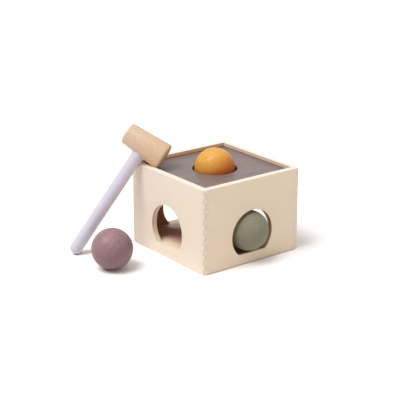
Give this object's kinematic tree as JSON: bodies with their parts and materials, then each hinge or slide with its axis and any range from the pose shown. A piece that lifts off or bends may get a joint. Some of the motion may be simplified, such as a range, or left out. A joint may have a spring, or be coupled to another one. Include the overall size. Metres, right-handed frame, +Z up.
{
  "type": "ball pounding box",
  "caption": "Finger-jointed wooden box with arched openings and a recessed lid that holds a ball in its hole, with loose balls and a leaning hammer to knock the ball through.",
  "frame": {"origin": "middle of the whole set's footprint, on the table", "axes": "+X from the loose ball to the box's right wall, +Y from the front opening to the rear wall, +Z up"},
  "size_m": [0.2438, 0.1766, 0.1544],
  "materials": {
    "pale_birch": "sanded, clear oil",
    "mauve_grey_stain": "thin mauve-grey stain, grain showing",
    "pale_rubber": "matt",
    "plywood": "sanded, bare",
    "zinc_plate": "zinc plated",
    "orange_paint": "thin orange paint, satin",
    "sage_paint": "thin sage paint, satin",
    "mauve_paint": "thin mauve paint, satin",
    "beech": "sanded, clear oil",
    "lilac_paint": "pale lilac paint, satin"
  },
  "bodies": {
    "box": {"front_wall": "pale_birch", "rear_wall": "pale_birch", "left_wall": "pale_birch", "right_wall": "pale_birch", "floor_panel": "pale_birch", "lid": "mauve_grey_stain", "retaining_ring": "pale_rubber", "ring_clamp": "plywood", "clamp_screw_1": "zinc_plate", "clamp_screw_2": "zinc_plate", "clamp_screw_3": "zinc_plate", "clamp_screw_4": "zinc_plate", "clamp_screw_5": "zinc_plate", "clamp_screw_6": "zinc_plate", "clamp_screw_7": "zinc_plate", "clamp_screw_8": "zinc_plate"},
    "orange_ball": {"orange_ball": "orange_paint"},
    "green_ball": {"green_ball": "sage_paint"},
    "mauve_ball": {"mauve_ball": "mauve_paint"},
    "hammer": {"hammer_head": "beech", "hammer_handle": "lilac_paint"}
  },
  "joints": [
    {"name": "orange_ball_drop", "type": "slide", "parent": "box", "child": "orange_ball", "axis": [0, 0, 1], "range_m": [-0.0624, 0.06], "deforming": ["retaining_ring"]},
    {"name": "green_ball_roll", "type": "slide", "parent": "box", "child": "green_ball", "axis": [0, -1, 0], "range_m": [-0.0136, 0.062]},
    {"name": "mauve_ball_roll", "type": "slide", "parent": "box", "child": "mauve_ball", "axis": [0, -1, 0], "range_m": [-0.015, 0.08]},
    {"name": "hammer_lift", "type": "slide", "parent": "box", "child": "hammer", "axis": [0, 0, 1], "range_m": [0, 0.12]}
  ]
}
